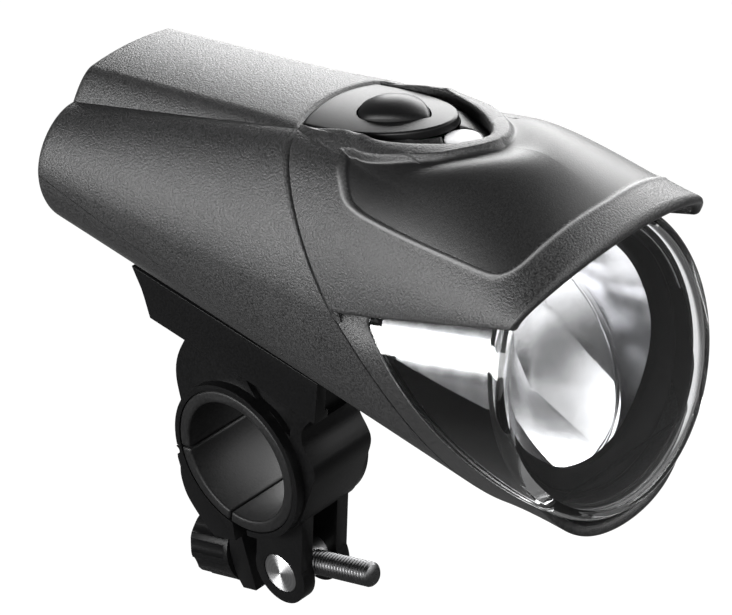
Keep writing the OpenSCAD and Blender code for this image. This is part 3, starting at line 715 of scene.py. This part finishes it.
rows = []
for q in np.concatenate([np.linspace(.02, .88, 28), [.92, .95, .975, .99, 1.0]]):
    x, y = rb * q * np.sin(a), rb * q * np.cos(a)
    z = cap_z(x, y) - .5 * max(0, (q - .88) / .12) ** 2
    rows.append(np.stack([x, y, z], -1))
e = rows[-1].copy()
for dz in (.35, .9):
    q = e.copy()
    q[:, 2] = np.minimum(e[:, 2] - .2, -1.0 - dz)
    rows.append(q)
rows = [pan(r) for r in rows]
n = NA
V = np.concatenate(rows + [pan(np.array([[0, 0, cap_z(np.array(0.), np.array(0.))]])), pan(np.array([[0, 0, -1.9]]))])
F = []
for i in range(len(rows) - 1):
    for j in range(n):
        kk = (j + 1) % n
        F.append((i * n + j, i * n + kk, (i + 1) * n + kk, (i + 1) * n + j))
top_i, bot_i = len(rows) * n, len(rows) * n + 1
for j in range(n):
    kk = (j + 1) % n
    F.append((top_i, kk, j))
    F.append((bot_i, (len(rows) - 1) * n + j, (len(rows) - 1) * n + kk))
# stem under the cap
st = 32
sa = np.linspace(0, 2 * np.pi, st, endpoint=False)
b0 = len(V)
ring = lambda r, z: pan(np.stack([r * np.sin(sa), 2 + r * np.cos(sa), np.full(st, z)], -1))
V = np.concatenate([V, ring(1.6, -1.95), ring(1.6, -4.2), ring(1.4, -4.4)])
for i in range(2):
    for j in range(st):
        kk = (j + 1) % st
        F.append((b0 + i * st + j, b0 + i * st + kk, b0 + (i + 1) * st + kk, b0 + (i + 1) * st + j))
F.append(tuple(b0 + 2 * st + j for j in range(st)))
F.append(tuple(b0 + j for j in range(st - 1, -1, -1)))
make("button_cap", V, F, "button", M_SATIN, "power_button", sharp=45)


# floor of the notch round the pad, with a round window in front of the pad
def floor_z(x, y):
    return np.sqrt(46.0 ** 2 - x * x) - 46.25 - .36 * np.maximum(0, -8 - y) - 3.6 * (np.abs(x) / 11) ** 2.2 * np.clip((2 - y) / 12, 0, 1)


WY, WR = -15.2, 3.6
af = np.radians(np.linspace(40, 320, 281))
r0 = radial(in_leaf, -.28, af, 3, False)
r1 = np.maximum(r0 + .12, radial(in_bay, .0, af, 3, False))


def floor_grid(dz):
    rows = []
    for q in np.linspace(0, 1, 40):
        r = r0 + (r1 - r0) * q
        x, y = r * np.sin(af), r * np.cos(af)
        d_ = np.hypot(x, y - WY)
        z = floor_z(x, y) + dz - (1.1 * (1 - step(d_, WR - .1, WR + .25)) if dz == 0 else 0)
        rows.append(pan(np.stack([x, y, z], -1)))
    return np.array(rows)


V, F = shell_mesh(floor_grid(0), floor_grid(-2.2), bulge=(.05, .05, .05, .05), K=3)
make("notch_floor_plate", V, F, "lamp", M_SHELL, "notch_floor", sharp=60)
aw = np.linspace(0, 2 * np.pi, 96, endpoint=False)
rows = []
for r, h in [(.05, .34), (.8, .33), (1.6, .28), (2.4, .19), (3.1, .04), (3.4, -.1), (3.48, -.3), (3.4, -1.0)]:
    x, y = r * np.sin(aw), WY + r * np.cos(aw)
    rows.append(pan(np.stack([x, y, floor_z(x * .3, y * .5 + WY * .5) + h], -1)))
V = np.concatenate(rows)
F = []
for i in range(len(rows) - 1):
    for j in range(96):
        kk = (j + 1) % 96
        F.append((i * 96 + j, i * 96 + kk, (i + 1) * 96 + kk, (i + 1) * 96 + j))
F.append(tuple(range(96)))
F.append(tuple((len(rows) - 1) * 96 + j for j in range(95, -1, -1)))
make("status_window", V, F, "lamp", M_WIN, "indicator_window", sharp=50)

# ------------------------------------------------------------------ lens
def arc(c, r, a0, a1, n):
    t = np.radians(np.linspace(a0, a1, n))
    return [(c[0] + r * math.cos(q), c[1] + r * math.sin(q)) for q in t]


na = 256
ang = np.linspace(0, 2 * np.pi, na, endpoint=False)
zz = LZ + LR * np.cos(ang)
d_rear = np.clip(-lens_plane(zz), 66.5, LF - 2.2)
front_o = arc((LR - 2.4, LF - 2.4 + 1.2), 2.4, 0, 68, 10) + [(20, LF + 2.0), (14, LF + 2.75), (7, LF + 3.15), (.4, LF + 3.3)]
front_i = [(.4, LF + 1.4), (7, LF + 1.28), (14, LF + .95), (20, LF + .3), (LR - 3.2, LF - .1), (LR - 2.2, LF - .7), (LR - 1.8, LF - 1.9)]
rows = []
for s in np.linspace(0, 1, 26):                       # outer skirt, rear to front
    d = d_rear + (LF - 1.2 - d_rear) * s
    rows.append(np.stack([LR * np.sin(ang), -d, LZ + LR * np.cos(ang)], -1))
for r, d in front_o[1:]:
    rows.append(np.stack([r * np.sin(ang), np.full(na, -d), LZ + r * np.cos(ang)], -1))
no = len(rows)
for r, d in front_i[:-1]:
    rows.append(np.stack([r * np.sin(ang), np.full(na, -d), LZ + r * np.cos(ang)], -1))
for s in np.linspace(1, 0, 24):
    d = d_rear + (LF - 1.9 - d_rear) * s
    d = np.maximum(d, d_rear)
    rows.append(np.stack([(LR - 1.8) * np.sin(ang), -d, LZ + (LR - 1.8) * np.cos(ang)], -1))
V = np.concatenate(rows)
F = []
m = len(rows)
for i in range(m):
    if i == no - 1:
        continue
    i2 = (i + 1) % m
    for j in range(na):
        kk = (j + 1) % na
        F.append((i * na + j, i * na + kk, i2 * na + kk, i2 * na + j))
F.append(tuple((no - 1) * na + j for j in range(na)))
F.append(tuple(no * na + j for j in range(na - 1, -1, -1)))
make("lens_clear", V, F, "lamp", M_GLASS, "front_lens", sharp=40)

# ------------------------------------------------------------------ bezel and dark lower sleeve
SLD = LF - 3.6
pr = np.array([(20.9, 88.05), (23.15, 88.05), (23.15, SLD - 2.1), (23.08, SLD - 1.85), (22.85, SLD - 1.65), (22.5, SLD - 1.62), (22.2, SLD - 1.8), (21.8, SLD - 2.3), (21.3, SLD - 2.9), (20.98, SLD - 3.3), (20.9, SLD - 3.5)])
nb_ = 240
ab = np.linspace(0, 2 * np.pi, nb_, endpoint=False)
low_w = step(-np.cos(ab), .05, .8)
Vr = []
for r, d in pr:
    rr_ = r - 2.1 * low_w * np.clip((22.3 - r) / 1.4, 0, 1)
    Vr.append(np.stack([rr_ * np.sin(ab), np.full(nb_, -d), LZ + rr_ * np.cos(ab)], -1))
V = np.concatenate(Vr)
F = []
for i in range(len(pr)):
    i2 = (i + 1) % len(pr)
    for j in range(nb_):
        kk = (j + 1) % nb_
        F.append((i * nb_ + j, i * nb_ + kk, i2 * nb_ + kk, i2 * nb_ + j))


def sleeve(r0, r1, low, n=161):
    """Angles, depth bounds and mask of the sleeve behind the lens skirt: the dark part below the dividing plane or the
    bright part above it.
    """
    P_, Q_ = [], []
    a0 = np.linspace(0, 2 * np.pi, 361)
    z = LZ + 25.1 * np.cos(a0)
    dr = np.clip(-lens_plane(z), 68, LF - 2.2)
    dl = 110 - (25.1 * np.cos(a0) + 2.4) / .28
    lo, hi = (dr, np.minimum(SLD + 1.55 * step(-np.cos(a0), .2, .5), dl)) if low else (np.maximum(dr, dl), np.full(len(a0), SLD))
    ok = hi - lo > .4
    return a0, lo, hi, ok


def sleeve_mesh(r0, r1, low):
    a0, lo, hi, ok = sleeve(r0, r1, low)
    if low:
        idx = np.where(ok)[0]
    else:
        h = np.where(ok)[0]
        c = len(a0) // 2
        idx = np.concatenate([h[h > c][:-1], h[h < c]])
    aa, l, h = a0[idx], lo[idx], hi[idx]
    g = lambda r: np.array([np.stack([r * np.sin(aa), -(l + (h - l) * s), LZ + r * np.cos(aa)], -1) for s in np.linspace(0, 1, 14)])
    return shell_mesh(g(r1), g(r0), bulge=(.1, .1, .1, .1), K=3)


br_a = np.radians(np.linspace(83, 277, 120))
br = lambda d: np.array([np.stack([r * np.sin(br_a), np.full(120, -d), LZ + r * np.cos(br_a)], -1) for r in np.linspace(22.9, 24.6, 6)])
V2, F2 = shell_mesh(br(90.0), br(88.1), bulge=(.05, .05, .05, .05), K=3)
F = F + [tuple(i + len(V) for i in f) for f in F2]
V = np.concatenate([V, V2])
V2, F2 = sleeve_mesh(24.25, 25.05, True)
F = F + [tuple(i + len(V) for i in f) for f in F2]
make("inner_trim", np.concatenate([V, V2]), F, "lamp", M_TRIM, "trim_ring", sharp=35)

# ------------------------------------------------------------------ reflector: scoop in long strips, round side wall, bright sleeve
def scoop_d(x, z):
    return 62.5 + (x * x + (z - 16) ** 2) / 60.5


xe = np.array([-21.4, -16.2, -4.8, 4.8, 16.2, 21.4])
xs = np.unique(np.concatenate([np.linspace(a_, b_e, 40) for a_, b_e in zip(xe[:-1], xe[1:])]))
seg = np.clip(np.searchsorted(xe, xs, side="right") - 1, 0, 4)
xc, hw = (xe[seg] + xe[seg + 1]) / 2, (xe[seg + 1] - xe[seg]) / 2
lift = (hw ** 2 - (xs - xc) ** 2) / 60.5 - .05 * (1 - ((xs - xc) / hw) ** 2)      # chord of each strip, hardly hollow
hz = np.sqrt(21.5 ** 2 - xs ** 2)
sz = np.linspace(0, 1, 72)
Zg = -hz[None] + 2 * hz[None] * sz[:, None]
Xg = np.repeat(xs[None], len(sz), 0)
Dg = scoop_d(Xg, Zg) + lift[None]
Pb = np.stack([Xg, -Dg, LZ + Zg], -1)
Qb = np.stack([Xg, -Dg + 1.1, LZ + Zg], -1)
V, F = shell_mesh(Pb, Qb, bulge=(.05, .05, .05, .05), K=3)
aw = np.linspace(0, 2 * np.pi, 240, endpoint=False)


def tube(r, q):
    de = scoop_d(21.5 * np.sin(aw), 21.5 * np.cos(aw)) - .3
    d = de + (87.8 - de) * q
    return np.stack([r * np.sin(aw), -d, LZ + r * np.cos(aw)], -1)


qs_ = np.linspace(0, 1, 20)
V2, F2 = shell_mesh(np.array([tube(21.5, q) for q in qs_]), np.array([tube(22.5, q) for q in qs_]), wrap=True, bulge=(.1, .1), K=3)
F = F + [tuple(i + len(V) for i in f) for f in F2]
V = np.concatenate([V, V2])
# bead where the scoop meets the wall
bd = np.linspace(0, 2 * np.pi, 14, endpoint=False)
de = scoop_d(21.2 * np.sin(aw), 21.2 * np.cos(aw))
B = np.array([np.stack([(21.3 + .45 * math.cos(q)) * np.sin(aw), -(de + .45 * math.sin(q)), LZ + (21.3 + .45 * math.cos(q)) * np.cos(aw)], -1) for q in bd])
nB = len(aw)
F2 = [(i * nB + j, i * nB + (j + 1) % nB, ((i + 1) % 14) * nB + (j + 1) % nB, ((i + 1) % 14) * nB + j) for i in range(14) for j in range(nB)]
F = F + [tuple(i + len(V) for i in f) for f in F2]
V = np.concatenate([V, B.reshape(-1, 3)])
V2, F2 = revolve([(21.6, 86.9), (21.6, 87.7), (24.0, 87.7), (24.0, 86.9)], 192)
F = F + [tuple(i + len(V) for i in f) for f in F2]
V = np.concatenate([V, V2])
V2, F2 = sleeve_mesh(24.0, 24.95, False)
F = F + [tuple(i + len(V) for i in f) for f in F2]
V = np.concatenate([V, V2])
make("reflector_scoop", V, F, "lamp", M_CHROME, "reflector", sharp=9)

# ------------------------------------------------------------------ clamp, shoe and small parts from the exact nodes
rounded("led_holder", "led_carrier", "lamp", M_SATIN, .0004)
rounded("rear_cap", "end_cap", "lamp", M_SATIN, .0004)
rounded("slide_shoe_body", "slide_shoe", "lamp", M_BRKT, .0006)
rounded("clamp_frame", "clamp_body", "bracket", M_BRKT, .0007, 3, 34.0)
rounded("clamp_gate", "clamp_jaw", "jaw", M_BRKT, .0006, 3, 34.0)
rounded("liner_top", "upper_liner", "bracket", M_LINER, .0005)
rounded("liner_bottom", "lower_liner", "jaw", M_LINER, .0005)
rounded("knob_fluted", "screw_knob", "knob", M_BRKT, .0004, 3, 34.0)
rounded("rear_plug", "charge_cover", "plug", M_RUBBER, .0004)

# barrel nut with its own origin on the nut axis, so that the spun finish is centred
NYZ = np.array([0, -.1, -26.2])


def nut_mesh():
    pr = [(6.5, .05), (6.5, 1.0), (6.5, 2.0), (6.5, 3.0), (6.5, 3.7), (6.46, 3.95), (6.34, 4.12), (6.15, 4.19), (5.4, 4.2), (3.6, 4.2)]
    pr = pr + [(-x, r) for x, r in pr[::-1]]
    n = 96
    q = np.linspace(0, 2 * np.pi, n, endpoint=False)
    V = np.concatenate([np.stack([np.full(n, x), r * np.cos(q), r * np.sin(q)], -1) for x, r in pr])
    F = []
    for i in range(len(pr) - 1):
        for j in range(n):
            kk = (j + 1) % n
            F.append((i * n + j, i * n + kk, (i + 1) * n + kk, (i + 1) * n + j))
    F.append(tuple(range(n)))
    F.append(tuple((len(pr) - 1) * n + j for j in range(n - 1, -1, -1)))
    return V, F


V, F = nut_mesh()
me = bpy.data.meshes.new("nut_barrel")
me.from_pydata([tuple(p / 1000) for p in V], [], F)
bm = bmesh.new()
bm.from_mesh(me)
bmesh.ops.recalc_face_normals(bm, faces=bm.faces)
bm.to_mesh(me)
bm.free()
me.polygons.foreach_set("use_smooth", [True] * len(me.polygons))
me.set_sharp_from_angle(angle=math.radians(50))
me.materials.append(M_SPUN)
o = bpy.data.objects.new("nut_barrel", me)
sc.collection.objects.link(o)
o.location = Vector(NYZ / 1000)
bpy.context.view_layer.update()
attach(o, "nut")
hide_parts("barrel_nut")

# threaded rod
y0, y1, pitch = -19.9, 24.4, .8
nth = 40
ys = np.concatenate([[y0], np.arange(y0 + .12, -1.2, .1), np.linspace(-1.0, y1, 30)])
th = np.linspace(0, 2 * np.pi, nth, endpoint=False)
rows = []
for y in ys:
    ph = ((y - y0) / pitch - th / (2 * np.pi)) % 1.0
    tri = 1 - np.abs(2 * ph - 1)
    r = 2.5 - .38 * (1 - np.clip(tri * 1.5 - .15, 0, 1))
    fade = step(np.array(-y), 1.4, 2.4)
    r = r * fade + 2.2 * (1 - fade)
    r = np.minimum(r, 1.95 + (y - y0) * 1.0)
    rows.append(np.stack([r * np.sin(th), np.full(nth, y), -26.2 + r * np.cos(th)], -1))
V = np.concatenate(rows)
F = []
for i in range(len(rows) - 1):
    for j in range(nth):
        kk = (j + 1) % nth
        F.append((i * nth + j, i * nth + kk, (i + 1) * nth + kk, (i + 1) * nth + j))
F.append(tuple(range(nth)))
F.append(tuple((len(rows) - 1) * nth + j for j in range(nth - 1, -1, -1)))
make("rod_thread", V, F, "rod", M_ROD, "screw_rod", lamp=False, sharp=60)

# exact nodes that stay, with their materials
keep = {"lens_seal": M_RUBBER, "led_board": M_LEDW, "led_emitter": M_LEDY, "heat_sink": M_ALU, "control_board": M_PCB, "tact_switch": M_TRIM,
        "indicator_led": M_LEDW, "battery_cradle": M_SATIN, "battery_cells": M_CELL, "contact_springs": M_BRASS, "contact_plates": M_BRASS,
        "charge_socket": M_TRIM, "end_cap_screws": M_STEEL, "shoe_screws": M_STEEL, "jaw_hinge_pin": M_STEEL}
for n_, m_ in keep.items():
    d_ = nodes[n_].data
    d_.materials.clear()
    d_.materials.append(m_)

# ------------------------------------------------------------------ stage
FZ = -.45
BAND = ((1.07, .401, 0), 1.52, .73, (-.76, .65, 0), -.075, .325)              # part of the floor that glows, a painted pool of light: two directions, centres and half widths
fm, nt, bs = new_mat("floor_glowing_pool")
v = coords(nt)
g = noise(nt, v, 6.0, 2.0, .5)
nt.links.new(ramp(nt, g, [(.3, (.028, .028, .028)), (.7, (.036, .036, .036))]), bs.inputs["Base Color"])


def axis_gap(vec, centre, half):
    """Distance along vec outside a band of the floor."""
    d_ = nt.nodes.new("ShaderNodeVectorMath")
    d_.operation = "DOT_PRODUCT"
    nt.links.new(v, d_.inputs[0])
    d_.inputs[1].default_value = vec
    out_ = d_.outputs["Value"]
    for op, val in (("SUBTRACT", centre), ("ABSOLUTE", 0), ("SUBTRACT", half), ("MAXIMUM", 0)):
        k_ = nt.nodes.new("ShaderNodeMath")
        k_.operation = op
        nt.links.new(out_, k_.inputs[0])
        k_.inputs[1].default_value = val
        out_ = k_.outputs[0]
    return out_


cb = nt.nodes.new("ShaderNodeCombineXYZ")
nt.links.new(axis_gap(BAND[0], BAND[1], BAND[2]), cb.inputs[0])
nt.links.new(axis_gap(BAND[3], BAND[4], BAND[5]), cb.inputs[1])
ln = nt.nodes.new("ShaderNodeVectorMath")
ln.operation = "LENGTH"
nt.links.new(cb.outputs[0], ln.inputs[0])
# emission 1.0 inside the band, falling to .08 outside it: the floor glows as a painted pool of light rather than being
# lit by a lamp
nt.links.new(remap(nt, ln.outputs["Value"], 1.0, .08, 0, .16), bs.inputs["Emission Strength"])
setin(bs, Roughness=.8, Emission_Color=(1, 1, 1, 1))
me = bpy.data.meshes.new("floor")
me.from_pydata([(-6, -6, FZ), (6, -6, FZ), (6, 6, FZ), (-6, 6, FZ)], [], [(0, 1, 2, 3)])
me.materials.append(fm)
floor = bpy.data.objects.new("floor", me)
sc.collection.objects.link(floor)


def area(name, loc, target, size, power, col=(1, 1, 1)):
    d = bpy.data.lights.new(name, "AREA")
    d.shape = "RECTANGLE"
    d.size, d.size_y = size
    d.energy = power
    d.color = col
    o = bpy.data.objects.new(name, d)
    sc.collection.objects.link(o)
    o.location = loc
    o.rotation_euler = (Vector(target) - Vector(loc)).to_track_quat("-Z", "Y").to_euler()
    return o


area("right_back", (.84, .30, .48), (0, -.05, .06), (1.0, .55), 18.5)
area("left_low", (-.84, .2, .30), (0, -.05, .04), (1.0, .26), 17.5)
area("right_card", (.70, -.22, .36), (0, -.08, .03), (.55, .55), 3.3)
area("front_card", (.42, -.50, .58), (0, -.08, .03), (.6, .6), 2.6)
area("front_right", (.42, -.85, .34), (0, -.08, .03), (.5, .36), 2.5)

w = bpy.data.worlds.new("studio")
sc.world = w
w.use_nodes = True
nt = w.node_tree
bg = nt.nodes["Background"]
tc = nt.nodes.new("ShaderNodeTexCoord")
sep = nt.nodes.new("ShaderNodeSeparateXYZ")
nt.links.new(tc.outputs["Generated"], sep.inputs["Vector"])
fy = remap(nt, sep.outputs["Y"], 1.0, 0.0, -.8, .1)
fz = remap(nt, sep.outputs["Z"], 1.0, 0.0, .25, .6)
mul = nt.nodes.new("ShaderNodeMath")
mul.operation = "MULTIPLY"
nt.links.new(fy, mul.inputs[0])
nt.links.new(fz, mul.inputs[1])
nt.links.new(ramp(nt, mul.outputs[0], [(0.0, (.04, .04, .04)), (.5, (.4, .4, .4)), (1.0, (1, 1, 1))]), bg.inputs["Color"])
bg.inputs["Strength"].default_value = 2.2
